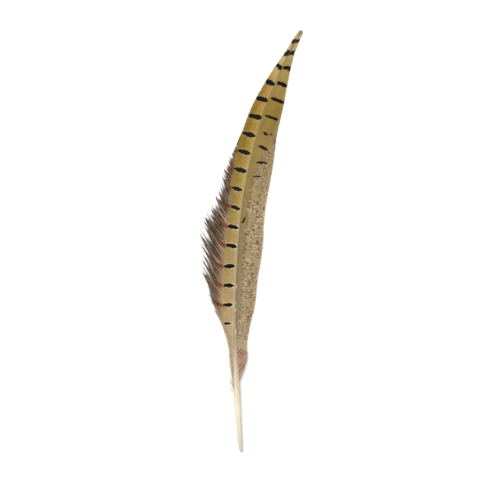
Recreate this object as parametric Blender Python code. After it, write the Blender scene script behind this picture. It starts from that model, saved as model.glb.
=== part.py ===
"""A loose pheasant tail feather that lies with its upper side up, as one solid.

Metres, +Z up. The quill's end is at low Y and the tip at high Y. The shaft bows towards -X, the narrow
barred vane with its loose fringe is on its -X side and the wide vane on its +X side. The origin is below
the middle of the feather's box, on the surface that it lies on.

Both vanes are made of locks: bands of barbs that leave the shaft at a slant and run towards the tip, joined
to their neighbours near the shaft and free at their ends.
"""

import math

import bmesh
import bpy
import numpy as np

LENGTH = 0.300
QUILL_END_X = 0.0234
QUILL_END_Y = -LENGTH / 2
VANE_THICKNESS = 0.0008

# The locks: how many there are, where the lowest leaves the shaft, and the share of a lock on a firm edge
# that is joined to its neighbours. Then the widths of free ends, as shares of a lock.
LOCKS_A_SIDE = 36
FIRST_LOCK = 0.048
ROWS_TO_NOTCH = 4
SHALLOW_NOTCH = 0.88
LEAST_FREE_STRAND = 0.17
BLUNT_END_WIDTH = 0.70
STRAND_WIDTH = 0.70
# How much shorter the shortest strands of the fringe are, and the step in radians that sets their order.
UNEVEN_FRINGE = 0.22
UNEVEN_STEP = 2.4
# The share of a barb's run along the feather that is straight; the rest bends it towards the tip.
BARB_STRAIGHT = 0.85

# The vanes' roof shape: the share of the reach where it meets the surface, and how round the slope is.
FLAT_EDGE = 0.84
CAMBER = 1.7
# The lowest barbs stay off the surface, at this share of the shaft's height, until this far up.
RAISED_SHARE = 0.6
RAISED_UNTIL = 0.100
# How far above the shaft's axis the vanes join it, as a share of its radius.
SEATED = 0.35

# The shaft's rings: those that round off the quill's end, and the even ones above them.
END_RINGS = (0.0, 0.0007, 0.0020, 0.0040)
EVEN_RINGS_FROM = 0.008
EVEN_RINGS = 42
SHAFT_END = 0.2965
WELD = 1e-6

# Each profile below is a smooth curve through (distance from the quill's end along the feather, value).
# The shaft's sideways place.
SHAFT_BOW = (
    (0.000, 0.0000), (0.042, -0.0090), (0.090, -0.0169), (0.135, -0.0219), (0.175, -0.0241),
    (0.210, -0.0224), (0.240, -0.0173), (0.270, -0.0096), (0.300, 0.0000),
)
# The height of the shaft's axis.
SHAFT_HEIGHT = (
    (0.000, 0.0016), (0.035, 0.0022), (0.090, 0.0041), (0.165, 0.0058), (0.235, 0.0042), (0.300, 0.0005),
)
SHAFT_RADIUS = (
    (0.000, 0.0005), (0.001, 0.0009), (0.004, 0.0012), (0.020, 0.0017), (0.036, 0.0022), (0.050, 0.0020),
    (0.066, 0.0015), (0.100, 0.0012), (0.150, 0.0009), (0.200, 0.00065), (0.250, 0.0004), (0.300, 0.0002),
)
# How far the barbs of the wide side reach from the shaft's middle.
WIDE_REACH = (
    (0.044, 0.0016), (0.052, 0.0036), (0.058, 0.0062), (0.065, 0.0084), (0.076, 0.0084), (0.088, 0.0104),
    (0.103, 0.0140), (0.120, 0.0153), (0.142, 0.0177), (0.165, 0.0173), (0.205, 0.0169), (0.225, 0.0140),
    (0.248, 0.0110), (0.262, 0.0079), (0.276, 0.0047), (0.290, 0.0028), (0.300, 0.0022),
)
# The same for the narrow side, out to the tips of its loose fringe.
NARROW_REACH = (
    (0.040, 0.0020), (0.060, 0.0040), (0.074, 0.0055), (0.084, 0.0086), (0.095, 0.0142), (0.106, 0.0198),
    (0.118, 0.0245), (0.134, 0.0264), (0.148, 0.0285), (0.158, 0.0275), (0.168, 0.0234), (0.180, 0.0188),
    (0.198, 0.0168), (0.212, 0.0126), (0.224, 0.0109), (0.240, 0.0103), (0.260, 0.0077), (0.280, 0.0042),
    (0.290, 0.0025), (0.300, 0.0014),
)
# The narrow side's firm edge, where the fringe starts.
FIRM_EDGE = (
    (0.040, 0.0020), (0.060, 0.0038), (0.076, 0.0050), (0.088, 0.0085), (0.100, 0.0109), (0.125, 0.0107),
    (0.150, 0.0097), (0.175, 0.0088), (0.200, 0.0103), (0.220, 0.0109), (0.240, 0.0101), (0.260, 0.0075),
    (0.280, 0.0041), (0.300, 0.0013),
)
# How much of a wide-side barb, by where it ends, is joined to its neighbours: the lowest ones are split.
WIDE_JOINED = ((0.062, 0.50), (0.078, 0.62), (0.094, SHALLOW_NOTCH))
# The slant of the barbs from the shaft's line, in degrees.
BARB_SLANT = (
    (0.044, 30.0), (0.080, 34.0), (0.130, 40.0), (0.240, 38.0), (0.270, 30.0), (0.290, 15.0), (0.300, 9.5),
)

NARROW, WIDE = -1, 1
REACH = {NARROW: NARROW_REACH, WIDE: WIDE_REACH}
TRIAL_TIPS = np.linspace(FIRST_LOCK - 0.004, LENGTH, 1200)
TRIAL_SHARES = np.linspace(0.2, SHALLOW_NOTCH, 60)


def profile(points, at):
    """The value at a distance along a smooth curve through the points."""
    places = np.array([place for place, value in points])
    values = np.array([value for place, value in points])
    slopes = np.gradient(values, places)
    at = min(max(at, places[0]), places[-1])
    i = min(int(np.searchsorted(places, at, side="right")) - 1, len(places) - 2)
    span = places[i + 1] - places[i]
    t = (at - places[i]) / span
    start = (1 + 2 * t) * (1 - t) ** 2 * values[i] + t * (1 - t) ** 2 * span * slopes[i]
    end = t * t * (3 - 2 * t) * values[i + 1] + t * t * (t - 1) * span * slopes[i + 1]
    return float(start + end)


def barb_start(side, tip):
    """Where the barb whose end is at this distance along the feather leaves the shaft."""
    slant = math.radians(profile(BARB_SLANT, tip))
    return tip - profile(REACH[side], tip) / math.tan(slant)


def barb_tips(side, starts):
    """Where the barbs that leave the shaft at these distances end."""
    return np.interp(starts, [barb_start(side, tip) for tip in TRIAL_TIPS], TRIAL_TIPS)


def barb_point(side, start, tip, share):
    """A point on a barb, as (distance along the feather, distance from the shaft's middle)."""
    bend = BARB_STRAIGHT * share + (1 - BARB_STRAIGHT) * share * share
    along = start + (tip - start) * bend
    return along, profile(REACH[side], tip) * share


def notch_share(side, start, tip):
    """The share of a barb, from the shaft out, that is joined to its neighbours."""
    if side == WIDE:
        return float(np.interp(tip, *zip(*WIDE_JOINED)))
    for share in TRIAL_SHARES:
        along, out = barb_point(side, start, tip, share)
        if out > profile(FIRM_EDGE, along):
            return float(share)
    return SHALLOW_NOTCH


def vane_height(side, along, out):
    """The height of the vane's underside: a roof from the shaft down to the surface it lies on."""
    ridge = profile(SHAFT_HEIGHT, along) + SEATED * profile(SHAFT_RADIUS, along) - VANE_THICKNESS / 2
    ridge = max(ridge, 0.0)
    raised = max(0.0, (RAISED_UNTIL - along) / (RAISED_UNTIL - FIRST_LOCK))
    eave = ridge * RAISED_SHARE * min(raised, 1.0)
    share = min(1.0, out / (FLAT_EDGE * profile(REACH[side], along)))
    return eave + (ridge - eave) * (1 - share**CAMBER)


def vane_place(side, along, out):
    x = QUILL_END_X + profile(SHAFT_BOW, along) + side * out
    return x, QUILL_END_Y + along, vane_height(side, along, out)


def add_side(bm, side, starts, middle):
    """The locks of one side. It returns the last column of points, which the tip lock joins."""
    tips = barb_tips(side, starts)
    columns = []
    notches = [notch_share(side, start, tip) for start, tip in zip(starts, tips)]
    for start, tip, notch, root in zip(starts, tips, notches, middle):
        shares = [notch * row / ROWS_TO_NOTCH for row in range(1, ROWS_TO_NOTCH + 1)]
        points = [barb_point(side, start, tip, share) for share in shares]
        columns.append([root] + [bm.verts.new(vane_place(side, *point)) for point in points])
    for i in range(len(starts) - 1):
        for row in range(ROWS_TO_NOTCH):
            bm.faces.new((columns[i][row], columns[i][row + 1], columns[i + 1][row + 1], columns[i + 1][row]))
        fullness = 1 - UNEVEN_FRINGE * abs(math.sin(UNEVEN_STEP * i))
        pairs = (starts[i : i + 2], tips[i : i + 2], notches[i : i + 2])
        add_lock_end(bm, side, columns[i], columns[i + 1], *pairs, fullness)
    return columns[-1]


def add_lock_end(bm, side, low, high, starts, tips, notches, fullness):
    """The free end of one lock: short and blunt on a firm edge, a tapering strand of its own length elsewhere."""
    middle_start = sum(starts) / 2
    middle_tip = sum(tips) / 2
    notch = sum(notches) / 2

    def pair(share, width):
        made = []
        for towards in (0, 1):
            start = middle_start + (starts[towards] - middle_start) * width
            tip = middle_tip + (tips[towards] - middle_tip) * width
            made.append(bm.verts.new(vane_place(side, *barb_point(side, start, tip, share))))
        return made

    if notch > 1 - LEAST_FREE_STRAND:
        ends = pair(1.0, BLUNT_END_WIDTH)
        bm.faces.new((low[-1], ends[0], ends[1], high[-1]))
        return
    length = notch + (1 - notch) * fullness
    waist = pair((length + notch) / 2, STRAND_WIDTH)
    end = bm.verts.new(vane_place(side, *barb_point(side, middle_start, middle_tip, length)))
    bm.faces.new((low[-1], waist[0], waist[1], high[-1]))
    bm.faces.new((waist[0], end, waist[1]))


def make_vanes():
    """Both vanes as one closed sheet of even height, from the shaft's middle out to the locks' ends."""
    last = min(barb_start(side, LENGTH) for side in (NARROW, WIDE))
    starts = np.linspace(FIRST_LOCK, last, LOCKS_A_SIDE + 1)
    bm = bmesh.new()
    middle = [bm.verts.new(vane_place(WIDE, start, 0.0)) for start in starts]
    narrow = add_side(bm, NARROW, starts, middle)
    wide = add_side(bm, WIDE, starts, middle)
    bm.faces.new((middle[-1], wide[1], narrow[1]))
    for row in range(1, ROWS_TO_NOTCH):
        bm.faces.new((narrow[row], wide[row], wide[row + 1], narrow[row + 1]))
    ends = []
    for side in (NARROW, WIDE):
        ends.append(bm.verts.new(vane_place(side, LENGTH, profile(REACH[side], LENGTH))))
    bm.faces.new((narrow[-1], wide[-1], ends[1], ends[0]))
    made = bmesh.ops.extrude_face_region(bm, geom=bm.faces[:], use_keep_orig=True)
    raised = [item for item in made["geom"] if isinstance(item, bmesh.types.BMVert)]
    bmesh.ops.translate(bm, verts=raised, vec=(0, 0, VANE_THICKNESS))
    bmesh.ops.recalc_face_normals(bm, faces=bm.faces[:])
    mesh = bpy.data.meshes.new("vanes_form")
    bm.to_mesh(mesh)
    bm.free()
    vanes = bpy.data.objects.new("vanes_form", mesh)
    vanes.hide_render = True
    vanes.display_type = "WIRE"
    bpy.context.scene.collection.objects.link(vanes)
    return vanes


def make_shaft():
    """The quill and rachis: one tapered round rod that follows the feather's bow and arch."""
    curve = bpy.data.curves.new("shaft_line", "CURVE")
    curve.dimensions = "3D"
    curve.bevel_depth = 1.0
    curve.bevel_resolution = 3
    curve.use_fill_caps = True
    rings = np.concatenate((END_RINGS, np.linspace(EVEN_RINGS_FROM, SHAFT_END, EVEN_RINGS)))
    spline = curve.splines.new("POLY")
    spline.points.add(len(rings) - 1)
    for point, along in zip(spline.points, rings):
        x = QUILL_END_X + profile(SHAFT_BOW, along)
        point.co = (x, QUILL_END_Y + along, profile(SHAFT_HEIGHT, along), 1.0)
        point.radius = profile(SHAFT_RADIUS, along)
    guide = bpy.data.objects.new("shaft_line", curve)
    bpy.context.scene.collection.objects.link(guide)
    bpy.context.view_layer.update()
    evaluated = guide.evaluated_get(bpy.context.evaluated_depsgraph_get())
    mesh = bpy.data.meshes.new_from_object(evaluated)
    bpy.data.objects.remove(guide)
    bm = bmesh.new()
    bm.from_mesh(mesh)
    bmesh.ops.remove_doubles(bm, verts=bm.verts[:], dist=WELD)
    bmesh.ops.recalc_face_normals(bm, faces=bm.faces[:])
    bm.to_mesh(mesh)
    bm.free()
    mesh.name = "feather"
    return mesh


def feather_material():
    material = bpy.data.materials.new("feather")
    material.use_nodes = True
    shader = material.node_tree.nodes["Principled BSDF"]
    shader.inputs["Base Color"].default_value = (0.40, 0.28, 0.13, 1.0)
    shader.inputs["Roughness"].default_value = 0.6
    shader.inputs["Metallic"].default_value = 0.0
    return material


def main():
    for obj in list(bpy.data.objects):
        bpy.data.objects.remove(obj)
    mesh = make_shaft()
    mesh.materials.clear()
    mesh.materials.append(feather_material())
    feather = bpy.data.objects.new("feather", mesh)
    bpy.context.scene.collection.objects.link(feather)
    join = feather.modifiers.new("join the vanes", "BOOLEAN")
    join.operation = "UNION"
    join.solver = "EXACT"
    join.object = make_vanes()


main()
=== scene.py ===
"""The looks of a loose pheasant tail feather that lies with its upper side up.

Metres, +Z up, in the part's own frame: the quill's end is at low Y and the tip at high Y, the narrow barred
vane with its loose fringe is on the -X side and the wide speckled vane on the +X side. Both vanes are made of
barbs, one closed ribbon each, that leave the shaft at a slant and run towards the tip.

Most places are given as (along, out): how far from the quill's end, and how far from the shaft's middle.
"""

import math

import bpy
import numpy as np
from mathutils import Matrix, Vector


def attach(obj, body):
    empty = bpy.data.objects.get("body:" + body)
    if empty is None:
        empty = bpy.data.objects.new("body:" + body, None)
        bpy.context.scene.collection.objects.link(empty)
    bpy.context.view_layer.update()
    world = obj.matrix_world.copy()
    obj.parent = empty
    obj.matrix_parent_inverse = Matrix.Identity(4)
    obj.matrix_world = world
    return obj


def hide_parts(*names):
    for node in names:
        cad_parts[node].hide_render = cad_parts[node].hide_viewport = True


# The form. The profiles are the solid's own, but the narrow vane's tip is shaped a little finer here.
LENGTH = 0.300
QUILL_END_X = 0.0234
QUILL_END_Y = -LENGTH / 2
VANE_THICKNESS = 0.0008
FIRST_BARB = 0.046
SHAFT_END = 0.2965
BARB_STRAIGHT = 0.85
# The vanes lie flat from this share of their width outwards, and arch by this power of it inside.
FLAT_EDGE = 0.84
CAMBER = 1.7
# Near the quill their margins hang clear of the surface, by this share of the vane's height at the shaft.
RAISED_SHARE = 0.6
RAISED_UNTIL = 0.100
RAISED_FROM = 0.048
# They leave the shaft this share of its radius above its middle, and thin by this much towards the margin.
SEATED = 0.35
THINNING = 0.72

# Each profile is a smooth curve through (distance from the quill's end along the feather, value).
SHAFT_BOW = (
    (0.000, 0.0000), (0.042, -0.0090), (0.090, -0.0169), (0.135, -0.0219), (0.175, -0.0241),
    (0.210, -0.0224), (0.240, -0.0173), (0.270, -0.0096), (0.300, 0.0000),
)
SHAFT_HEIGHT = (
    (0.000, 0.0016), (0.035, 0.0022), (0.090, 0.0041), (0.165, 0.0058), (0.235, 0.0042), (0.300, 0.0005),
)
SHAFT_RADIUS = (
    (0.000, 0.0005), (0.001, 0.0009), (0.004, 0.0012), (0.020, 0.0017), (0.036, 0.0022), (0.050, 0.0020),
    (0.066, 0.0015), (0.100, 0.0012), (0.150, 0.0009), (0.200, 0.00065), (0.250, 0.0004), (0.300, 0.0002),
)
WIDE_REACH = (
    (0.044, 0.0016), (0.052, 0.0036), (0.058, 0.0062), (0.065, 0.0084), (0.076, 0.0084), (0.088, 0.0104),
    (0.103, 0.0140), (0.120, 0.0153), (0.142, 0.0177), (0.165, 0.0173), (0.205, 0.0169), (0.225, 0.0140),
    (0.248, 0.0110), (0.262, 0.0079), (0.276, 0.0047), (0.290, 0.0028), (0.300, 0.0022),
)
NARROW_REACH = (
    (0.040, 0.0020), (0.060, 0.0040), (0.074, 0.0055), (0.084, 0.0086), (0.095, 0.0142), (0.106, 0.0198),
    (0.118, 0.0245), (0.134, 0.0264), (0.148, 0.0285), (0.158, 0.0275), (0.168, 0.0234), (0.180, 0.0188),
    (0.198, 0.0168), (0.212, 0.0126), (0.224, 0.0109), (0.240, 0.0103), (0.260, 0.0077), (0.280, 0.0042),
    (0.290, 0.0030), (0.2955, 0.0024), (0.300, 0.0009),
)
# The narrow vane's firm edge, where its barbs come apart into the fringe.
FIRM_EDGE = (
    (0.040, 0.0020), (0.060, 0.0038), (0.076, 0.0050), (0.088, 0.0085), (0.100, 0.0109), (0.125, 0.0107),
    (0.150, 0.0097), (0.175, 0.0088), (0.200, 0.0103), (0.220, 0.0109), (0.240, 0.0101), (0.260, 0.0075),
    (0.280, 0.0042), (0.291, 0.0034), (0.300, 0.0014),
)
# The slant of the barbs from the shaft's line, in degrees.
BARB_SLANT = (
    (0.044, 30.0), (0.080, 34.0), (0.130, 40.0), (0.240, 38.0), (0.270, 30.0), (0.290, 15.0), (0.300, 9.5),
)

NARROW, WIDE = -1, 1
REACH = {NARROW: NARROW_REACH, WIDE: WIDE_REACH}
TRIAL_TIPS = np.linspace(FIRST_BARB - 0.004, LENGTH, 1200)

# The barbs: how many a side, the stations along each, the share of the pitch by which each laps over the
# next, and how far its ridge, its belly and its edges are from its middle.
BARBS = 580
BARB_STATIONS = 23
OVERLAP = 0.10
RIDGE = 0.00009
BELLY = 0.00013
SHINGLE = 0.00002
# The middle height of the vane's slow waves at its margin.
RIPPLE = 0.00016
FRINGE_STATIONS = 16
DOWN_STATIONS = 18
VANE_SEED, FRINGE_SEED, DOWN_SEED = 7, 23, 41
# How wide the dark web of barbules along each loose barb is, and how low the barbules reach. The web's
# darkness is partly the barbules' own colour and partly painted shade in the gaps.
WEB_WIDTH = 0.00080
HAIR_FLOOR = 0.00003

# The dark bars, in millimetres: along at the inner and the outer end, out at both, and the thickness.
NARROW_BARS = (
    (291.2, 290.6, -1.2, 3.2, 3.5), (282.3, 281.7, -1.2, 4.5, 4.6), (269.9, 274.2, -0.3, 7.6, 3.4),
    (258.2, 261.3, 0.1, 9.6, 3.6), (246.4, 248.2, 0.2, 10.2, 3.4), (233.7, 235.2, -0.2, 9.9, 3.4),
    (220.4, 222.2, -0.4, 10.4, 3.4), (207.8, 209.3, -0.5, 10.2, 3.4), (194.8, 196.5, -0.3, 9.9, 3.4),
    (181.9, 182.9, 0.9, 8.8, 3.1), (168.4, 169.8, 0.4, 7.9, 3.1), (155.4, 155.9, 0.3, 8.6, 3.1),
    (142.2, 142.5, 0.4, 8.9, 3.1), (128.6, 127.6, 0.9, 9.6, 3.0), (115.1, 114.2, 0.8, 9.3, 2.9),
    (101.7, 100.4, 1.4, 9.3, 2.7), (88.6, 87.4, 2.7, 8.7, 1.8),
)
WIDE_BARS = (
    (290.7, 292.4, -1.2, 3.4, 2.8), (281.4, 283.9, -1.0, 4.6, 3.3), (271.6, 271.3, -0.4, 6.9, 3.0),
    (260.4, 258.9, 0.2, 9.0, 2.8), (248.7, 246.9, 0.6, 11.8, 2.4), (235.9, 234.6, 1.2, 11.5, 1.9),
    (224.0, 222.9, 3.8, 7.5, 2.0), (223.0, 223.7, 6.6, 12.3, 0.7), (214.4, 212.4, 2.8, 11.1, 2.1),
    (202.6, 203.2, 4.4, 12.8, 1.8), (203.6, 203.6, 2.4, 3.5, 0.8), (192.4, 193.1, 3.8, 10.8, 1.1),
    (160.0, 163.9, 1.8, 3.9, 2.6), (159.6, 160.4, 1.2, 3.2, 2.2), (158.7, 155.9, 4.6, 9.8, 0.5),
)
# Bars from here to the tip have blunt ends, the others pointed ones. Either is rounded by a power and a root.
BLUNT_FROM = 226.0
BLUNT, POINTED = (3.6, 0.55), (2.3, 0.75)
# The distance from a bar, in millimetres, that stands for none near.
FAR_FROM_BARS = 20.0
# Which of the narrow vane's bars carry a rust patch past their outer ends, by how far along they are.
RUST_FROM, RUST_TO = 95.0, 215.0

# Small pale slivers on the rachis, in millimetres: along at the middle, and the length.
SLIVERS = ((114.5, 2.6), (103.4, 1.8), (98.4, 2.8), (83.3, 4.0))

# The shaft: its rings, the points round each, and the groove's depth as a share of the radius and its half
# width in radians.
SHAFT_RINGS = 190
ROUND_POINTS = 24
GROOVE_DEPTH = 0.30
GROOVE_HALF_WIDTH = 0.45

# The camera looks straight down, turned so that the feather leans as it does in the photograph.
LEAN = math.radians(8.16)
VIEW_CENTRE = (0.0016, -0.0028)
VIEW_WIDTH = 0.3378
LENS, SENSOR = 85.0, 36.0
FLOOR_SIZE = 3.0
FLOOR_DROP = 0.0002
SKY_STRENGTH = 0.44

# What each point carries: along, out and the distance from the nearest bar, in millimetres, how much of a
# rust patch, of painted shade in a slit or of a sliver is there, the strand's shade, and the share of the way
# along it or round the shaft.
VALUES = ("along", "out", "bar", "mark", "strand", "share")


def profile(points, at):
    """The value at a distance along a smooth curve through the points."""
    places = np.array([place for place, value in points])
    values = np.array([value for place, value in points])
    slopes = np.gradient(values, places)
    at = np.clip(at, places[0], places[-1])
    i = np.clip(np.searchsorted(places, at, side="right") - 1, 0, len(places) - 2)
    span = places[i + 1] - places[i]
    t = (at - places[i]) / span
    start = (1 + 2 * t) * (1 - t) ** 2 * values[i] + t * (1 - t) ** 2 * span * slopes[i]
    end = t * t * (3 - 2 * t) * values[i + 1] + t * t * (t - 1) * span * slopes[i + 1]
    return start + end


def smooth(value, low, high):
    """0 at low, 1 at high and a soft step between."""
    t = np.clip((value - low) / (high - low), 0, 1)
    return t * t * (3 - 2 * t)


def barb_start(side, tip):
    """Where the barb that ends at this distance along the feather leaves the shaft."""
    return tip - profile(REACH[side], tip) / np.tan(np.radians(profile(BARB_SLANT, tip)))


TRIAL_STARTS = {side: barb_start(side, TRIAL_TIPS) for side in (NARROW, WIDE)}


def barb_places(side, starts, shares):
    """(along, out) of points at these shares of the barbs that leave the shaft at these distances."""
    tips = np.interp(starts, TRIAL_STARTS[side], TRIAL_TIPS)
    last = TRIAL_STARTS[side][-1]
    at_the_tip = np.clip((SHAFT_END - starts) / (SHAFT_END - last), 0, 1)
    bend = BARB_STRAIGHT * shares + (1 - BARB_STRAIGHT) * shares**2
    return starts + (tips - starts) * bend, profile(REACH[side], tips) * at_the_tip * shares


def vane_height(side, along, out):
    """The height of the vane's underside: a roof from the shaft down to the surface it lies on."""
    ridge = profile(SHAFT_HEIGHT, along) + SEATED * profile(SHAFT_RADIUS, along) - VANE_THICKNESS / 2
    ridge = np.maximum(ridge, 0.0)
    raised = np.clip((RAISED_UNTIL - along) / (RAISED_UNTIL - RAISED_FROM), 0, 1)
    eave = ridge * RAISED_SHARE * raised
    share = np.clip(out / (FLAT_EDGE * profile(REACH[side], along)), 0, 1)
    return eave + (ridge - eave) * (1 - share**CAMBER)


def place(side, along, out, lift):
    """Points of the feather's frame, lifted this far from the vane's underside."""
    x = QUILL_END_X + profile(SHAFT_BOW, along) + side * out
    return np.stack((x, QUILL_END_Y + along, vane_height(side, along, out) + lift), axis=-1)


def bar_distance(side, along, out):
    """How far outside the nearest bar's outline a place is, in millimetres; below zero it is inside."""
    along, out = along * 1000, out * 1000
    nearest = np.full(np.broadcast(along, out).shape, FAR_FROM_BARS)
    bars = NARROW_BARS if side == NARROW else WIDE_BARS
    for inner_along, outer_along, inner, outer, thickness in bars:
        share = (out - inner) / (outer - inner)
        middle = inner_along + (outer_along - inner_along) * np.clip(share, 0, 1)
        power, root = BLUNT if inner_along > BLUNT_FROM else POINTED
        swell = np.clip(1 - np.abs(2 * np.clip(share, 0, 1) - 1) ** power, 0, 1) ** root
        past = np.maximum(np.maximum(-share, share - 1), 0) * (outer - inner)
        off = np.abs(along - middle) - thickness / 2 * swell
        nearest = np.minimum(nearest, np.where(past > 0, np.hypot(np.maximum(off, 0), past), off))
    return nearest


def rust_patch(along, out):
    """The red-brown patches just outside the outer ends of the narrow vane's lower bars, from 0 to 1."""
    along, out = along * 1000, out * 1000
    found = np.zeros(np.broadcast(along, out).shape)
    for inner_along, outer_along, inner, outer, thickness in NARROW_BARS:
        if RUST_FROM < outer_along < RUST_TO:
            reach = 3.0 + 1.4 * smooth(outer_along, 180.0, 150.0)
            over = out - outer - 0.4 * reach
            rise = along - outer_along - 0.30 * over
            found = np.maximum(found, np.exp(-((rise / 1.6) ** 2) - (over / reach) ** 2))
    return found


def unit(vectors):
    return vectors / np.maximum(np.linalg.norm(vectors, axis=-1, keepdims=True), 1e-9)


def sideways(run):
    """Level vectors of length 1 to the left of these directions."""
    return unit(np.stack((-run[..., 1], run[..., 0], np.zeros(run.shape[:-1])), axis=-1))


class Surface:
    """Gathers closed strips into one mesh, each with its own cell of the map and its own values."""

    def __init__(self):
        self.points, self.corners, self.sizes, self.places = [], [], [], []
        self.values = {name: [] for name in VALUES}
        self.count = 0

    def add(self, points, places, **values):
        """points is strips x stations x corners x 3, places the same x 2, and values fit the first three."""
        strips, stations, corners = points.shape[:3]
        index = self.count + np.arange(strips * stations * corners).reshape(strips, stations, corners)
        ahead = np.roll(index, -1, axis=2)
        quads = np.stack((index[:, :-1], ahead[:, :-1], ahead[:, 1:], index[:, 1:]), axis=-1)
        quads = np.moveaxis(quads, 2, 0)[::-1].reshape(-1, 4)
        ends = (index[:, 0, ::-1], index[:, -1])
        across = points[:, :, 1] - points[:, :, 0]
        away = points[:, :, 2] - points[:, :, 0]
        run = np.gradient(points[:, :, 0], axis=1)
        if (np.cross(across, away) * run).sum() < 0:
            quads = quads[:, ::-1]
            ends = tuple(end[:, ::-1] for end in ends)
        for faces in (quads, *ends):
            self.corners.append(faces.ravel())
            self.sizes.append(np.full(len(faces), faces.shape[1]))
        self.keep(points, places, values)

    def add_spikes(self, feet, tips, width, places, **values):
        """Thin three-sided spikes. feet and tips are spikes x 3, places is spikes x 4 x 2."""
        side = sideways(tips - feet) * width / 2
        top = feet + np.array([0.0, 0.0, 0.8 * width])
        points = np.stack((feet - side, feet + side, top, tips), axis=1)
        index = self.count + np.arange(len(feet) * 4).reshape(-1, 4)
        for face in ((0, 2, 1), (0, 1, 3), (1, 2, 3), (2, 0, 3)):
            self.corners.append(index[:, face].ravel())
            self.sizes.append(np.full(len(feet), 3))
        self.keep(points, places, {name: value[:, None] for name, value in values.items()})

    def keep(self, points, places, values):
        """Stores the points, their places on the map and their values."""
        self.points.append(points.reshape(-1, 3))
        self.places.append(places.reshape(-1, 2))
        for name in VALUES:
            value = np.broadcast_to(values.get(name, 0.0), points.shape[:-1])
            self.values[name].append(value.ravel())
        self.count = self.count + points[..., 0].size

    def take(self, other, row, rows):
        """Adds another's strips, with its map in one of the rows of this one's."""
        self.points += other.points
        self.corners += [corners + self.count for corners in other.corners]
        self.sizes += other.sizes
        self.places += [(places + (0.0, row)) / (1.0, rows) for places in other.places]
        for name in VALUES:
            self.values[name] += other.values[name]
        self.count = self.count + other.count

    def build(self, name, material, crease=None):
        """Makes the mesh and its piece. Edges are sharp from an angle of crease degrees."""
        points = np.concatenate(self.points).astype(np.float32)
        corners = np.concatenate(self.corners).astype(np.int32)
        sizes = np.concatenate(self.sizes).astype(np.int32)
        mesh = bpy.data.meshes.new(name)
        mesh.vertices.add(len(points))
        mesh.vertices.foreach_set("co", points.ravel())
        mesh.loops.add(len(corners))
        mesh.loops.foreach_set("vertex_index", corners)
        mesh.polygons.add(len(sizes))
        firsts = np.concatenate(([0], np.cumsum(sizes)[:-1])).astype(np.int32)
        mesh.polygons.foreach_set("loop_start", firsts)
        mesh.update(calc_edges=True)
        baked = mesh.uv_layers.new(name="OFBake")
        places = np.concatenate(self.places)[corners].astype(np.float32)
        baked.data.foreach_set("uv", places.ravel())
        for value in VALUES:
            held = mesh.attributes.new(value, "FLOAT", "POINT")
            held.data.foreach_set("value", np.concatenate(self.values[value]).astype(np.float32))
        mesh.shade_smooth()
        if crease is not None:
            mesh.set_sharp_from_angle(angle=math.radians(crease))
        mesh.materials.append(material)
        mesh.validate()
        piece = bpy.data.objects.new(name, mesh)
        bpy.context.scene.collection.objects.link(piece)
        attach(piece, "root")
        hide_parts("feather")


def cells(count, rows, across, share):
    """Map places for strips laid side by side in this many rows of the map."""
    columns = math.ceil(count / rows)
    index = np.arange(count)[:, None, None]
    u = (index % columns + 0.06 + 0.88 * across) / columns
    v = (index // columns + 0.02 + 0.96 * share) / rows
    return np.stack(np.broadcast_arrays(u, v), axis=-1)


def grouped(rng, starts, smallest, largest, fine_until=0.0):
    """Groups neighbouring barbs: for each, its group's number and the middle of its group.

    Below fine_until the groups are small ones.
    """
    sizes = []
    while sum(sizes) < len(starts):
        most = smallest + 4 if starts[sum(sizes)] < fine_until else largest
        sizes.append(int(rng.integers(smallest, most + 1)))
    group = np.repeat(np.arange(len(sizes)), sizes)[: len(starts)]
    middles = np.array([starts[group == g].mean() for g in range(group[-1] + 1)])
    return group, middles[group]


def by_group(rng, low, high, group):
    """A draw for each group, given to all of its barbs."""
    return rng.uniform(low, high, group[-1] + 1)[group]


def gathered(starts, middles, pull):
    """The starts drawn towards the middles of their groups, by a pull from 0 to 1."""
    return middles + (starts - middles) * (1 - pull)


def firm_share(side, starts):
    """The share of each barb that is hooked to its neighbours."""
    if side == WIDE:
        return np.ones(len(starts))
    shares = np.linspace(0.2, 1.0, 80)
    along, out = barb_places(side, starts[:, None], shares[None, :])
    beyond = out > profile(FIRM_EDGE, along)
    return np.where(beyond.any(1), shares[beyond.argmax(1)], 1.0)


def waviness(rng, starts, length):
    """A slow random curve along the barbs' starts, from -1 to 1."""
    knots = np.arange(starts[0] - length, starts[-1] + 2 * length, length)
    return np.interp(starts, knots, rng.uniform(-1, 1, len(knots)))


def barb_starts():
    """Where the barbs of either side leave the shaft."""
    return np.linspace(FIRST_BARB, SHAFT_END - 0.0008, BARBS)


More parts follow.
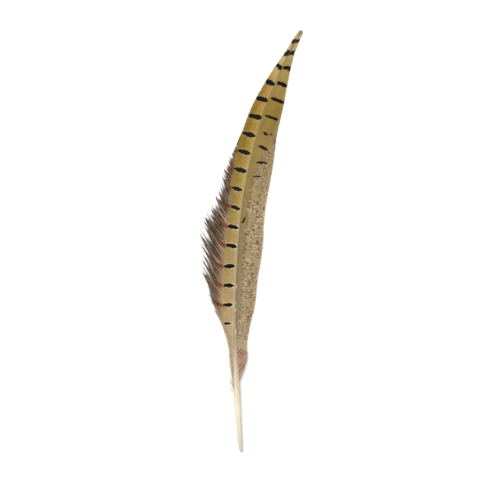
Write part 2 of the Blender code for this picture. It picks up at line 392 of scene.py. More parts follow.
def make_vane(side, name, material):
    """One side's barbs, in groups that come apart near the margin."""
    rng = np.random.default_rng(VANE_SEED + side)
    starts = barb_starts()
    pitch = starts[1] - starts[0]
    count = len(starts)
    # The vane's barbs end at the margin, or shortly past the firm edge where loose barbs take over.
    firm = firm_share(side, starts)
    loose = firm < 0.97
    past_firm = (1 - firm) * np.maximum(rng.uniform(0.10, 0.42, count), smooth(starts, 0.074, 0.066))
    end = np.where(loose, firm + past_firm, 1 - rng.uniform(0, 0.022, count))
    end = end - np.where(starts > 0.270, rng.uniform(0, 0.16, count), 0)
    station = np.linspace(0, 1, BARB_STATIONS) ** 0.92
    reach = np.maximum(barb_places(side, starts, np.ones(count))[1], 0.0012)
    inner = np.minimum(0.55 * profile(SHAFT_RADIUS, starts) / reach, 0.5)
    shares = inner[:, None] + (end - inner)[:, None] * station[None, :]

    # Groups of barbs cling together and come apart from the next ones near the margin, low down further in.
    smallest, fine_until = (5, 0.072) if side == WIDE else (4, 0.0)
    group, middles = grouped(rng, starts, smallest, 16, fine_until)
    split = by_group(rng, 0.0, 0.5, group)
    parting = 0.90 * firm
    if side == WIDE:
        low = smooth(starts, 0.080, 0.064)
        split = split * (0.5 + 0.3 * low)
        parting = parting - 0.35 * low
        parted = parting + 0.66 - 0.30 * low
    else:
        parted = np.full(count, 1.06)
    pull = split[:, None] * smooth(shares, parting[:, None], parted[:, None])

    # Each barb has four lines: the edge towards the quill, the ridge, the edge towards the tip and the belly.
    wave = waviness(rng, starts, 0.011)[:, None]
    ripple = RIPPLE * (1 + wave) * smooth(shares, 0.1, 0.9)
    narrowing = 1 - 0.55 * smooth(shares / end[:, None], 0.955, 1.0)
    narrowing = narrowing * (1 - 0.62 * loose[:, None] * smooth(shares, firm[:, None], end[:, None]))
    half = pitch / 2 * (1 + OVERLAP) * narrowing
    fade = 1 - 0.62 * shares
    lift = 0.5 * VANE_THICKNESS * (1 - THINNING * shares) + ripple
    barbs = starts[:, None]
    sections = []
    for towards, rise in ((-1, -SHINGLE), (0, RIDGE), (1, SHINGLE), (0, -BELLY)):
        where = gathered(barbs + towards * half, middles[:, None], pull)
        along, out = barb_places(side, where, shares)
        height = lift + rise * (fade if towards == 0 else 1)
        sections.append((along, out, place(side, along, out, height)))
    points = np.stack([section[2] for section in sections], axis=2)
    along = np.stack([section[0] for section in sections], axis=2)
    out = np.stack([section[1] for section in sections], axis=2)

    # The markings are shifted from barb to barb, so that their edges are ragged.
    ragged = 0.00016 * rng.standard_normal(count) + 0.00024 * waviness(rng, starts, 0.0011)
    ragged = ragged * (1 + 0.6 * smooth(starts, 0.245, 0.265))
    jagged = along + ragged[:, None, None]
    across = np.array([0.0, 0.5, 1.0, 0.5])[None, None, :]
    if side == NARROW:
        mark = rust_patch(jagged, out)
    else:
        # Painted shade, two barbs wide, in the slits between the lowest groups.
        first = np.concatenate(([False], group[1:] != group[:-1]))
        dark = by_group(rng, 0.2, 1.8, group)
        second = np.roll(first, 1)
        painted_slit_shade = np.where(first | second, np.clip(dark, 0, 1) * smooth(starts, 0.070, 0.065), 0)
        painted_slit_shade = painted_slit_shade * smooth(starts, 0.049, 0.053)
        opens = (by_group(rng, 0.0, 0.25, group) + 0.06 * second)[:, None]
        closes = (by_group(rng, 0.75, 1.20, group) - 0.12 * second)[:, None]
        mark = painted_slit_shade[:, None] * smooth(shares, opens, opens + 0.2) * smooth(shares, closes, closes - 0.3)
        mark = mark[:, :, None]
    surface = Surface()
    surface.add(
        points,
        cells(count, 4, across, station[None, :, None]),
        along=along * 1000,
        out=out * 1000,
        bar=bar_distance(side, jagged, out),
        mark=mark,
        strand=rng.uniform(0, 1, count)[:, None, None],
        share=(shares / np.where(loose, firm, end)[:, None])[:, :, None],
    )
    surface.build(name, material, crease=50)


def tube(line, width, height=0.8):
    """Three-cornered strips around the lines: strips x stations x 3 in, with a corner axis added."""
    side = sideways(np.gradient(line, axis=1))
    up = np.array([0.0, 0.0, 1.0])
    half = (width / 2)[..., None]
    return np.stack((line - side * half, line + up * half * 2 * height, line + side * half), axis=2)


def barbules(rng, line, values, count, size, width, spread, shade):
    """Short fine hairs along both sides of each strand, leaning towards its tip.

    count is how many a strand has, spread their angle from it in degrees, and shade their share of its own.
    """
    strips, stations = line.shape[:2]
    at = rng.uniform(0.02, 0.97, (strips, count))
    step = at * (stations - 1)
    low = np.floor(step).astype(int)
    part = (step - low)[..., None]
    strip = np.arange(strips)[:, None]
    foot = line[strip, low] * (1 - part) + line[strip, low + 1] * part
    run = unit(line[strip, low + 1] - line[strip, low])
    hand = np.where(rng.uniform(size=at.shape) < 0.5, -1.0, 1.0)
    angle = np.radians(rng.uniform(spread - 14, spread + 14, at.shape)) * hand
    turned = np.stack(
        (
            run[..., 0] * np.cos(angle) - run[..., 1] * np.sin(angle),
            run[..., 0] * np.sin(angle) + run[..., 1] * np.cos(angle),
            run[..., 2] + rng.uniform(-0.10, 0.16, at.shape),
        ),
        axis=-1,
    )
    tip = foot + turned * (size * rng.uniform(0.5, 1.15, at.shape) * (1 - 0.5 * at))[..., None]
    for end in (foot, tip):
        end[..., 2] = np.maximum(end[..., 2], HAIR_FLOOR)
    across = np.array([0.1, 0.9, 0.5, 0.5])[None, :]
    ahead = np.array([0.0, 0.0, 0.0, 0.05])[None, :]
    u = (strip[..., None] + 0.06 + 0.88 * across) / strips
    v = at[..., None] * 0.94 + ahead
    places = np.stack(np.broadcast_arrays(u, v), axis=-1)
    held = {}
    for name, value in values.items():
        full = np.broadcast_to(value, (strips, stations, 1))[..., 0]
        held[name] = full[strip, low].ravel()
    held["strand"] = held["strand"] * shade
    surface = Surface()
    surface.add_spikes(foot.reshape(-1, 3), tip.reshape(-1, 3), width, places.reshape(-1, 4, 2), **held)
    return surface


def make_fringe(material):
    """The narrow vane's loose barbs, past its firm edge."""
    rng = np.random.default_rng(FRINGE_SEED)
    starts = barb_starts()
    firm = firm_share(NARROW, starts)
    free = (firm < 0.80 + 0.17 * smooth(starts, 0.09, 0.15)) & (starts > 0.066)
    starts, firm = starts[free], firm[free]
    count = len(starts)
    lock, lock_middles = grouped(rng, starts, 9, 20)
    tuft, tuft_middles = grouped(rng, starts, 3, 7)
    # How much of its full length each has: whole locks and tufts are shorter, and a few barbs stick out.
    fullness = 0.975 - 0.10 * by_group(rng, 0, 1, lock) - 0.24 * by_group(rng, 0, 1, tuft)
    fullness = fullness - 0.20 * rng.uniform(0, 1, count) ** 2
    fullness = np.where(rng.uniform(size=count) < 0.12, rng.uniform(0.90, 0.965, count), fullness)
    root = firm * 0.93
    end = root + (1 - root) * fullness
    station = np.linspace(0, 1, FRINGE_STATIONS)[None, :]
    shares = root[:, None] + (end - root)[:, None] * station
    lock_pull = by_group(rng, 0.0, 0.14, lock)[:, None]
    tuft_pull = by_group(rng, 0.60, 0.92, tuft)[:, None]
    curl = by_group(rng, -0.03, 0.06, lock) + by_group(rng, -0.05, 0.05, tuft)
    curl = curl + rng.uniform(-0.03, 0.03, count)
    wander = rng.uniform(-1, 1, count)
    rise = rng.uniform(0, 0.0011, count)[:, None] * station * (1.2 - station) * 2 + 0.00008

    def run(pulled):
        """The barbs' lines and values, gathered into their tufts by this share of the full pull."""
        where = starts[:, None] + np.zeros_like(shares)
        where = gathered(where, tuft_middles[:, None], pulled * tuft_pull * smooth(station, 0.0, 0.4))
        where = gathered(where, lock_middles[:, None], lock_pull * smooth(station, 0.1, 1.0))
        along, out = barb_places(NARROW, where, shares)
        length = (out[:, -1:] - out[:, :1]) / math.sin(math.radians(40))
        along = along + length * (curl[:, None] * station**2 + 0.02 * wander[:, None] * np.sin(station * 7))
        out = out - length * 0.35 * curl[:, None] * station**2
        lift = 0.5 * VANE_THICKNESS * (1 - THINNING * shares) * (1 - station) + rise
        values = {
            "along": along[..., None] * 1000,
            "out": out[..., None] * 1000,
            "mark": rust_patch(along, out * 0.96)[..., None],
            "share": station[..., None],
        }
        return place(NARROW, along, out, lift), values

    across = np.array([0.0, 0.5, 1.0])[None, None, :]
    # The web of barbules, with every other station, just below the barbs. Its dark colour is partly the
    # barbules' own and partly painted shade between the loose barbs.
    kept = [*range(0, FRINGE_STATIONS - 1, 2), FRINGE_STATIONS - 1]
    web_line, web_values = run(0.15)
    web_values = {name: web_values[name][:, kept] for name in ("along", "out", "mark")}
    web_width = WEB_WIDTH * rng.uniform(0.85, 1.15, count)[:, None] * (1 - 0.4 * station)
    taper = rng.uniform(0.66, 0.90, count) - 0.42 * smooth(starts, 0.158, 0.182)
    web_width = web_width * (1 - 0.92 * smooth(station, taper[:, None], 1.0))
    web_line = web_line - np.array([0.0, 0.0, 0.00005])
    web = Surface()
    web.add(
        tube(web_line[:, kept], web_width[:, kept], 0.08),
        cells(count, 1, across, station[:, kept, None]),
        strand=rng.uniform(0.0, 0.2, count)[:, None, None],
        share=station[:, kept, None],
        **web_values,
    )

    line, values = run(1.0)
    width = rng.uniform(0.00024, 0.00036, count)[:, None] * (1 - 0.40 * station**0.8)
    width = width * (1 - 0.75 * smooth(station, 0.78, 1.0))
    shade = by_group(rng, 0.58, 1.0, tuft)
    shade = np.clip(shade + rng.uniform(-0.10, 0.06, count), 0, 1)
    values["strand"] = shade[:, None, None]
    strands = Surface()
    strands.add(tube(line, width), cells(count, 1, across, station[..., None]), **values)
    surface = Surface()
    # The barbules take 0.40 of their barb's shade: partly their own darker colour, partly painted shade
    # between the barbs.
    hairs = barbules(rng, line, values, count=60, size=0.00075, width=0.00010, spread=36, shade=0.40)
    for row, layer in enumerate((hairs, web, strands)):
        surface.take(layer, row, 3)
    surface.build("fringe", material)


def down_barbs(rng, side, count, foot, size, slant, curl, shade):
    """Barbs of soft down beside the quill, as (lines, widths, values), from ranges of each measure."""
    foot, size = rng.uniform(*foot, count), rng.uniform(*size, count)
    slant, curl = np.radians(rng.uniform(*slant, count)), rng.uniform(*curl, count)
    station = np.linspace(0, 1, DOWN_STATIONS)[None, :]
    heading = slant[:, None] + curl[:, None] * station**1.5
    step = size[:, None] / (DOWN_STATIONS - 1)
    out = profile(SHAFT_RADIUS, foot)[:, None] * 0.72 + np.cumsum(np.sin(heading), axis=1) * step
    along = foot[:, None] + np.cumsum(np.cos(heading), axis=1) * step
    height = profile(SHAFT_HEIGHT, along) + rng.uniform(-0.0002, 0.0010, count)[:, None]
    height = height + rng.uniform(-0.0008, 0.0008, count)[:, None] * station
    x = QUILL_END_X + profile(SHAFT_BOW, along) + side * out
    line = np.stack((x, QUILL_END_Y + along, np.maximum(height, 0.0002)), axis=-1)
    width = 0.00013 * (1 - 0.6 * station) + np.zeros((count, 1))
    values = {
        "along": along[..., None] * 1000,
        "strand": rng.uniform(*shade, count)[:, None, None],
        "share": station[..., None],
    }
    return line, width, values


def make_down(material):
    """The soft barbs at the foot of the narrow vane: short ones, a few strays and two pale curls."""
    rng = np.random.default_rng(DOWN_SEED)
    surface = Surface()
    across = np.array([0.0, 0.5, 1.0])[None, None, :]
    # The side, how many, and the ranges of the foot's place, the length, the slant, the curl and the shade.
    kinds = (
        (NARROW, 70, (0.0395, 0.056), (0.0030, 0.0056), (6, 26), (-0.4, 0.5), (0.50, 0.85)),
        (NARROW, 7, (0.044, 0.062), (0.0045, 0.0075), (34, 52), (-0.5, 0.9), (0.80, 1.0)),
        (NARROW, 2, (0.0402, 0.0410), (0.0100, 0.0108), (58, 64), (-0.9, -0.8), (0.92, 1.0)),
    )
    rows = len(kinds)
    for row, (side, count, *rest) in enumerate(kinds):
        line, width, values = down_barbs(rng, side, count, *rest)
        hairs = barbules(rng, line, values, count=44, size=0.0006, width=0.00007, spread=44, shade=1.0)
        surface.take(hairs, 2 * row, 2 * rows)
        strands = Surface()
        strands.add(tube(line, width), cells(count, 1, across, values["share"]), **values)
        surface.take(strands, 2 * row + 1, 2 * rows)
    surface.build("down", material)


def make_shaft(material):
    """The quill and the rachis: round and hollow-ended below, grooved underneath between the vanes."""
    fine_rings = [0.0, 0.0003, 0.0007, 0.0013, 0.002, 0.003, 0.004]
    rings = np.concatenate((fine_rings, np.linspace(0.006, SHAFT_END, SHAFT_RINGS)))
    hole = np.array([0.0030, 0.0012, 0.0003])
    hole_radius = np.array([0.00004, 0.00020, 0.00030])
    turn = np.linspace(0, 2 * math.pi, ROUND_POINTS, endpoint=False)
    along = np.concatenate((hole, rings))
    radius = np.concatenate((hole_radius, profile(SHAFT_RADIUS, rings)))
    groove = GROOVE_DEPTH * smooth(along, 0.050, 0.075)
    bottom = np.exp(-(((turn - math.pi) / GROOVE_HALF_WIDTH) ** 2))
    shape = 1 - groove[:, None] * bottom[None, :]
    side = np.sin(turn)[None, :] * radius[:, None] * shape
    up = np.cos(turn)[None, :] * radius[:, None] * shape
    x = (QUILL_END_X + profile(SHAFT_BOW, along))[:, None] + side
    y = np.broadcast_to((QUILL_END_Y + along)[:, None], x.shape)
    z = np.maximum(profile(SHAFT_HEIGHT, along)[:, None] + up, 0.00002)
    points = np.stack((x, y, z), axis=-1)[None]
    unrolled = np.abs(turn - math.pi) / math.pi
    half = np.where(turn <= math.pi, 0.0, 0.5)
    places = np.stack(
        np.broadcast_arrays(
            (0.02 + 0.46 * unrolled + half)[None, None, :],
            (np.arange(len(along)) / (len(along) - 1))[None, :, None],
        ),
        axis=-1,
    )
    mark = np.zeros(side.shape)
    for middle, length in SLIVERS:
        ahead = np.abs(along * 1000 - middle)[:, None] / (length / 2)
        beside = np.abs(side * 1000 - 0.25) / 0.40
        sliver = np.clip(1.5 - np.hypot(ahead, beside), 0, 1) * (np.cos(turn) > 0)[None, :]
        mark = np.maximum(mark, sliver)
    surface = Surface()
    surface.add(
        points,
        places,
        along=along[None, :, None] * 1000,
        mark=mark[None],
        share=(turn / (2 * math.pi))[None, None, :],
    )
    surface.build("shaft", material)


def colour(red, green, blue):
    """A colour from its 0 to 255 values."""
    linear = []
    for value in (red, green, blue):
        share = value / 255
        linear.append(share / 12.92 if share <= 0.04045 else ((share + 0.055) / 1.055) ** 2.4)
    return (*linear, 1.0)


# Where a colour mix has its share and two colours among its inputs, and the result among its outputs.
MIX_INPUTS = (0, 6, 7)
MIX_OUTPUT = 2


class Finish:
    """A material whose node tree is built by short calls."""

    def __init__(self, name):
        self.material = bpy.data.materials.new(name)
        self.material.use_nodes = True
        self.tree = self.material.node_tree
        self.surface = self.tree.nodes["Principled BSDF"]

    def node(self, kind):
        return self.tree.nodes.new("ShaderNode" + kind)

    def give(self, socket, value):
        if isinstance(value, bpy.types.NodeSocket):
            self.tree.links.new(value, socket)
        else:
            socket.default_value = value

    def fill(self, node, **values):
        """Gives the node's inputs their values, by their names with an underscore for each space."""
        for name, value in values.items():
            self.give(node.inputs[name.replace("_", " ")], value)

    def value(self, name):
        node = self.node("Attribute")
        node.attribute_name = name
        return node.outputs["Fac"]

    def values(self, *names):
        return [self.value(name) for name in names]

    def math(self, operation, *values):
        node = self.node("Math")
        node.operation = operation
        for socket, value in zip(node.inputs, values):
            self.give(socket, value)
        return node.outputs[0]

    def times(self, first, second):
        return self.math("MULTIPLY", first, second)

    def step(self, value, low, high):
        """0 at low, 1 at high and a soft step between; low may be the larger."""
        node = self.node("MapRange")
        node.interpolation_type = "SMOOTHSTEP"
        self.fill(node, Value=value, From_Min=min(low, high), From_Max=max(low, high))
        if low > high:
            self.fill(node, To_Min=1.0, To_Max=0.0)
        return node.outputs[0]

    def vector(self, x, y, z=0.0):
        node = self.node("CombineXYZ")
        for socket, value in zip(node.inputs, (x, y, z)):
            self.give(socket, value)
        return node.outputs[0]

    def noise(self, vector, scale, detail=2.0, distortion=0.0):
        node = self.node("TexNoise")
        self.fill(node, Vector=vector, Scale=scale, Detail=detail, Distortion=distortion)
        return node.outputs["Fac"]

    def mix(self, share, first, second, blend="MIX"):
        node = self.node("Mix")
        node.data_type = "RGBA"
        node.blend_type = blend
        for socket, value in zip(MIX_INPUTS, (share, first, second)):
            self.give(node.inputs[socket], value)
        return node.outputs[MIX_OUTPUT]

    def over(self, body, shade, where, most):
        """The colour with a shade laid over it, by most of its strength where the value is 1."""
        return self.mix(self.times(where, most), body, shade)

    def stops(self, value, low, high, *colours):
        """Colours, by their 0 to 255 values, in even steps from low to high."""
        node = self.node("ValToRGB")
        ramp = node.color_ramp
        while len(ramp.elements) < len(colours):
            ramp.elements.new(0.5)
        for i, shade in enumerate(colours):
            ramp.elements[i].position = i / (len(colours) - 1)
            ramp.elements[i].color = colour(*shade)
        scaled = self.node("MapRange")
        self.fill(scaled, Value=value, From_Min=low, From_Max=high)
        self.give(node.inputs[0], scaled.outputs[0])
        return node.outputs[0]

    def shaded(self, body, streaks, low, high):
        """The colour with the streaks laid over it, from low to high times itself."""
        return self.mix(1.0, body, self.mix(streaks, grey(low), grey(high)), "MULTIPLY")

    def done(self, body, roughness, shine, height, distance):
        """The material, with its colour, its bump and a roughness of (value, factor, base)."""
        rough = self.math("MULTIPLY_ADD", *roughness)
        bump = self.node("Bump")
        self.fill(bump, Strength=1.0, Distance=distance, Height=height)
        self.fill(self.surface, Base_Color=body, Roughness=rough, Specular_IOR_Level=shine)
        self.fill(self.surface, Normal=bump.outputs[0])
        return self.material


def grey(level):
    return (level, level, level, 1.0)


BLACK = colour(15, 13, 7)
BROWN = colour(52, 42, 26)


def barb_streaks(finish, along, out, strand):
    """Fine differences from barb to barb and along each barb, from 0 to 1."""
    lane = finish.times(strand, 180.0)
    fine = finish.noise(finish.vector(lane, finish.times(out, 0.35)), 1.0)
    broad = finish.noise(finish.vector(out, along), 0.28)
    return finish.math("ADD", finish.times(fine, 0.6), finish.times(broad, 0.4))


def inked(finish, bar, along, streaks, body):
    """The dark bars over the colour, browner at the tip, as (colour, how dark)."""
    dark = finish.step(finish.math("ADD", bar, finish.times(streaks, 0.5)), 0.45, 0.08)
    ink = finish.mix(finish.step(along, 276, 290), BLACK, BROWN)
    return finish.mix(dark, body, ink), dark


def narrow_finish():
    finish = Finish("barred barbs")
    along, out, bar, rust, strand, share = finish.values(*VALUES)
    streaks = barb_streaks(finish, along, out, strand)
    cloud = finish.noise(finish.vector(out, along, 4.0), 0.35)
    inner = finish.stops(
        along, 60, 300,
        (171, 155, 123), (174, 154, 111), (161, 141, 90), (154, 129, 70),
        (151, 123, 54), (158, 130, 66), (212, 192, 150),
    )
    outer = finish.stops(
        along, 60, 300,
        (162, 145, 113), (167, 142, 98), (149, 125, 75), (139, 112, 48),
        (131, 103, 32), (140, 110, 46), (216, 198, 158),
    )
    strip = finish.stops(
        along, 60, 300,
        (196, 177, 148), (184, 163, 120), (172, 148, 94), (166, 138, 74),
        (190, 166, 112),
    )
    edge = finish.stops(
        along, 60, 300,
        (177, 156, 119), (166, 139, 100), (156, 132, 96), (145, 116, 84),
        (140, 117, 71), (200, 180, 138),
    )
    body = finish.mix(finish.step(finish.math("ADD", out, cloud), 4.2, 7.2), inner, outer)
    body = finish.over(body, outer, finish.step(bar, 2.2, 4.6), 0.35)
    body = finish.over(body, strip, finish.step(out, 2.8, 1.2), 0.85)
    body = finish.mix(finish.step(share, 0.86, 1.02), body, edge)
    loose = finish.mix(finish.step(along, 98, 88), colour(158, 130, 102), colour(200, 181, 146))
    body = finish.mix(finish.step(share, 1.00, 1.16), body, loose)
    body = finish.over(body, colour(188, 170, 142), finish.step(along, 66, 54), 0.9)
    seam = finish.times(finish.step(out, 1.1, 0.6), finish.step(along, 208, 232))
    body = finish.over(body, colour(128, 102, 46), seam, 0.9)
    near = finish.step(finish.math("ADD", bar, finish.times(cloud, 0.9)), 1.35, 0.55)
    strength = finish.math("MULTIPLY_ADD", finish.step(along, 250, 130), 0.55, 0.12)
    body = finish.over(body, colour(204, 188, 150), near, strength)
    inner_end = finish.times(finish.step(out, 2.4, 1.2), finish.step(along, 175, 150))
    inner_end = finish.times(inner_end, finish.step(bar, 1.4, 0.5))
    body = finish.over(body, colour(224, 214, 192), inner_end, 0.8)
    speck = finish.step(finish.noise(finish.vector(out, along, 11.0), 0.75, 1.0), 0.70, 0.76)
    body = finish.over(body, colour(110, 74, 40), speck, 0.55)
    body = finish.over(body, colour(126, 66, 38), finish.step(rust, 0.06, 0.95), 0.88)
    body = finish.shaded(body, streaks, 0.72, 1.28)
    body = finish.shaded(body, finish.step(cloud, 0.3, 0.7), 0.92, 1.08)
    ragged = finish.math("ADD", along, finish.times(cloud, 5.0))
    body = finish.over(body, colour(194, 180, 142), finish.step(ragged, 293, 296), 0.8)
    body = finish.over(body, colour(141, 131, 98), finish.step(ragged, 298, 300), 0.85)
    body, dark = inked(finish, bar, along, streaks, body)
    return finish.done(body, (dark, -0.12, 0.66), 0.1, streaks, 0.00006)


def wide_finish():
    finish = Finish("speckled barbs")
    along, out, bar, painted_slit_shade, strand, share = finish.values(*VALUES)
    streaks = barb_streaks(finish, along, out, strand)
    body = finish.stops(
        along, 60, 300,
        (176, 148, 122), (174, 154, 122), (171, 152, 119), (172, 153, 118),
        (156, 137, 96), (145, 123, 71), (142, 116, 54), (164, 140, 80),
        (200, 176, 130),
    )
    blotch = finish.noise(finish.vector(out, along, 20.0), 0.16)
    reach = finish.math("MULTIPLY_ADD", finish.step(along, 85, 125), 2.4, 3.0)
    strip = finish.step(finish.math("SUBTRACT", out, reach), 1.8, -1.2)
    strip = finish.times(strip, finish.step(along, 215, 190))
    olive = finish.stops(along, 90, 190, (141, 123, 93), (132, 113, 77), (138, 115, 63))
    body = finish.over(body, olive, strip, 0.9)
    outward = finish.math("MULTIPLY_ADD", finish.step(along, 228, 188), 4.5, out)
    light_side = finish.times(finish.step(outward, 9.0, 13.0), finish.step(along, 236, 206))
    body = finish.over(body, colour(166, 146, 112), light_side, 0.75)
    jitter = finish.math("MULTIPLY_ADD", strand, 0.5, along)
    spot = finish.vector(finish.times(out, 0.85), finish.times(jitter, 1.3))
    level = finish.math("MULTIPLY_ADD", finish.step(along, 184, 246), -12.0, out)
    level = finish.math("MULTIPLY_ADD", finish.step(along, 112, 84), 2.4, level)
    dense = finish.times(finish.step(level, 2.4, 5.0), finish.step(along, 248, 232))
    some = finish.math("MULTIPLY_ADD", finish.step(along, 238, 212), 0.4, finish.step(blotch, 0.40, 0.62))
    dense = finish.times(dense, finish.math("MINIMUM", some, 1.0))
    dense = finish.times(dense, finish.step(along, 60, 78))
    fleck = finish.noise(spot, 0.58, 1.5, 0.9)
    line = finish.math("ABSOLUTE", finish.math("SUBTRACT", finish.noise(spot, 0.42, 1.5, 1.8), 0.5))
    dark_fleck = finish.math("MAXIMUM", finish.step(fleck, 0.45, 0.38), finish.step(line, 0.046, 0.016))
    dark_fleck = finish.times(dark_fleck, dense)
    light_fleck = finish.times(finish.step(fleck, 0.53, 0.60), dense)
    light_fleck = finish.times(light_fleck, finish.step(along, 210, 165))
    body = finish.over(body, colour(206, 186, 150), light_fleck, 0.66)
    body = finish.over(body, colour(88, 64, 38), dark_fleck, 0.80)
    upper = finish.times(finish.step(along, 238, 256), finish.step(along, 280, 266))
    where = finish.math("MAXIMUM", finish.step(along, 200, 168), finish.times(upper, 0.7))
    margin = finish.times(finish.step(share, 0.94, 0.985), where)
    body = finish.over(body, colour(208, 184, 154), margin, 0.75)
    body = finish.over(body, colour(198, 170, 138), finish.step(along, 82, 72), 0.6)
    rosy = finish.times(finish.step(along, 74, 68), finish.step(along, 54, 62))
    body = finish.over(body, colour(184, 144, 122), rosy, 0.65)
    rough = finish.times(finish.step(streaks, 0.49, 0.58), rosy)
    body = finish.over(body, colour(122, 78, 62), rough, 0.5)
    body = finish.shaded(body, blotch, 0.80, 1.20)
    body = finish.shaded(body, streaks, 0.74, 1.26)
    fine = finish.noise(spot, 1.5, 1.0, 0.6)
    where = finish.times(finish.step(along, 238, 212), finish.step(level, 2.4, 5.0))
    grainy = finish.shaded(body, finish.step(fine, 0.34, 0.66), 0.80, 1.20)
    body = finish.mix(where, body, grainy)
    # Painted shade in the slits between the lowest barb groups.
    body = finish.over(body, colour(66, 42, 28), finish.step(painted_slit_shade, 0.05, 0.5), 0.94)
    body = finish.over(body, colour(141, 131, 98), finish.step(along, 292, 299), 0.75)
    body, dark = inked(finish, bar, along, streaks, body)
    return finish.done(body, (dark, -0.12, 0.68), 0.1, streaks, 0.00006)


def fringe_finish():
    finish = Finish("loose barbs")
    along, out, rust, strand, share = finish.values("along", "out", "mark", "strand", "share")
    # The darkest kinds colour the web under the loose barbs: partly their own colour, partly painted shade.
    kinds = finish.stops(
        strand, 0, 1,
        (36, 32, 22), (58, 48, 34), (92, 72, 54), (140, 112, 88),
        (166, 136, 110), (184, 154, 128), (214, 190, 160),
    )
    kinds = finish.over(kinds, colour(150, 124, 80), finish.step(along, 180, 215), 0.55)
    kinds = finish.over(kinds, colour(186, 160, 130), finish.step(along, 106, 90), 0.7)
    beside = finish.mix(finish.step(strand, 0.2, 0.5), colour(108, 84, 66), colour(184, 150, 126))
    body = finish.over(kinds, beside, finish.step(share, 0.34, 0.0), 0.75)
    body = finish.over(body, colour(202, 182, 148), finish.step(along, 98, 86), 0.75)
    body = finish.over(body, colour(126, 66, 38), finish.step(rust, 0.06, 0.95), 0.88)
    mottle = finish.noise(finish.vector(finish.times(strand, 90.0), out, along), 0.8, 3.0)
    body = finish.shaded(body, mottle, 0.6, 1.4)
    return finish.done(body, (mottle, 0.2, 0.55), 0.12, mottle, 0.00004)


def down_finish():
    finish = Finish("soft down")
    along, strand, share = finish.values("along", "strand", "share")
    body = finish.stops(strand, 0.5, 1, (208, 191, 156), (218, 201, 168), (226, 210, 180))
    body = finish.mix(finish.step(share, 0.5, 0.0), body, colour(214, 197, 162))
    mottle = finish.noise(finish.vector(finish.times(strand, 90.0), share, along), 0.9, 3.0)
    body = finish.shaded(body, mottle, 0.7, 1.3)
    return finish.done(body, (mottle, 0.2, 0.6), 0.12, mottle, 0.00003)


def shaft_finish():
    finish = Finish("quill horn")
    along, turn, sliver = finish.values("along", "share", "mark")
    # The shaft's colour as lit, on its -X side.
    left = finish.stops(
        along, 0, 300,
        (212, 201, 176), (237, 228, 204), (209, 188, 160), (172, 152, 128),
        (168, 148, 120), (158, 138, 104), (166, 143, 98), (170, 145, 90),
        (134, 109, 50), (158, 134, 76), (160, 144, 100),
    )
    # The same colour with painted shade, on its +X side: deepest along the middle of the rachis, none near
    # the tip.
    right = finish.stops(
        along, 0, 300,
        (198, 187, 162), (227, 217, 192), (194, 173, 146), (132, 113, 92),
        (126, 106, 74), (130, 110, 74), (140, 118, 77), (152, 129, 75),
        (134, 109, 50), (158, 134, 76), (160, 144, 100),
    )
    # Painted shade: the colour turns from the lit copy to the shaded one towards +X.
    cross = finish.math("SINE", finish.times(turn, 2 * math.pi))
    body = finish.mix(finish.step(cross, -0.75, 0.45), left, right)
    fine, slow = finish.times(turn, 26.0), finish.times(along, 0.05)
    grain = finish.noise(finish.vector(fine, slow), 1.0, 4.0)
    wide, patchy = finish.times(turn, 5.0), finish.times(along, 0.3)
    cloud = finish.noise(finish.vector(wide, patchy), 1.0, 3.0)
    streaks = finish.math("ADD", finish.times(grain, 0.6), finish.times(cloud, 0.4))
    body = finish.shaded(body, streaks, 0.72, 1.28)
    # Darker on the -X side of the shaft from about 62 to 90 mm along.
    low_dark_band = finish.times(finish.step(along, 62, 74), finish.step(along, 90, 82))
    low_dark_band = finish.times(low_dark_band, finish.step(cross, -0.35, -0.75))
    body = finish.over(body, colour(128, 108, 84), low_dark_band, 0.75)
    for middle, half, strength in ((290.9, 1.7, 0.9), (281.8, 2.0, 0.8), (271.0, 1.5, 0.5)):
        off = finish.math("ABSOLUTE", finish.math("SUBTRACT", along, middle))
        body = finish.over(body, BROWN, finish.step(off, half, half - 0.7), strength)
    narrow, short = finish.times(turn, 34.0), finish.times(along, 0.9)
    fibre = finish.noise(finish.vector(narrow, short), 1.0)
    flake = finish.step(finish.math("MULTIPLY_ADD", fibre, 1.6, sliver), 1.05, 1.65)
    flake = finish.times(flake, finish.step(sliver, 0.0, 0.35))
    body = finish.over(body, colour(230, 221, 208), flake, 0.6)
    finish.fill(finish.surface, Subsurface_Weight=0.06, Subsurface_Radius=(0.0010, 0.0007, 0.0005))
    return finish.done(body, (streaks, 0.25, 0.30), 0.35, streaks, 0.00005)


def floor_finish():
    finish = Finish("pale floor")
    soft = finish.noise(finish.node("TexCoord").outputs["Object"], 9.0)
    finish.fill(finish.surface, Base_Color=finish.mix(soft, grey(0.90), grey(0.93)), Roughness=0.9)
    return finish.material


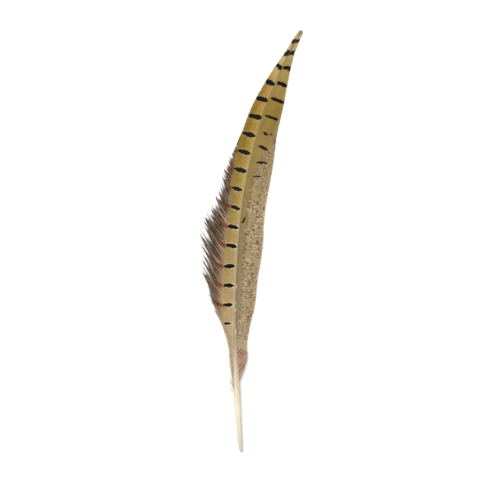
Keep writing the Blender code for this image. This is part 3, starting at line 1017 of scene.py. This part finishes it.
def make_stage():
    bpy.ops.mesh.primitive_plane_add(size=FLOOR_SIZE, location=(0, 0, -FLOOR_DROP))
    floor = bpy.context.object
    floor.name = "floor"
    floor.data.materials.append(floor_finish())


def add_light(name, location, size, power):
    """A round soft light that faces the middle of the feather."""
    data = bpy.data.lights.new(name, "AREA")
    data.shape = "DISK"
    data.size = size
    data.energy = power
    light = bpy.data.objects.new(name, data)
    light.location = location
    light.rotation_mode = "QUATERNION"
    light.rotation_quaternion = (-Vector(location)).to_track_quat("-Z", "Y")
    bpy.context.scene.collection.objects.link(light)


def make_lights():
    world = bpy.data.worlds.new("soft box")
    world.use_nodes = True
    world.node_tree.nodes["Background"].inputs["Color"].default_value = grey(1.0)
    world.node_tree.nodes["Background"].inputs["Strength"].default_value = SKY_STRENGTH
    bpy.context.scene.world = world
    add_light("key", (-0.44, 0.32, 1.00), size=0.60, power=10.0)
    add_light("fill", (0.60, -0.30, 0.80), size=0.80, power=3.2)


def make_camera():
    data = bpy.data.cameras.new("camera")
    data.lens = LENS
    data.sensor_width = SENSOR
    data.clip_start = 0.01
    camera = bpy.data.objects.new("camera", data)
    distance = VIEW_WIDTH * LENS / SENSOR
    camera.matrix_world = Matrix.Translation((*VIEW_CENTRE, distance)) @ Matrix.Rotation(LEAN, 4, "Z")
    bpy.context.scene.collection.objects.link(camera)
    bpy.context.scene.camera = camera


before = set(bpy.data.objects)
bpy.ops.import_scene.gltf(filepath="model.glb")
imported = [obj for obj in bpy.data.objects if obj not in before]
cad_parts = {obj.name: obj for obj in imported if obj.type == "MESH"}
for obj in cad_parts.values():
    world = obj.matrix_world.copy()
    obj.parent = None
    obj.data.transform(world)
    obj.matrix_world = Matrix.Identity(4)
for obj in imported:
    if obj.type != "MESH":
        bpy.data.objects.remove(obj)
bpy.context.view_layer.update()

make_camera()
make_lights()
make_stage()
bpy.context.scene.view_settings.view_transform = "Standard"

make_shaft(shaft_finish())
make_vane(NARROW, "narrow_vane", narrow_finish())
make_vane(WIDE, "wide_vane", wide_finish())
make_fringe(fringe_finish())
make_down(down_finish())
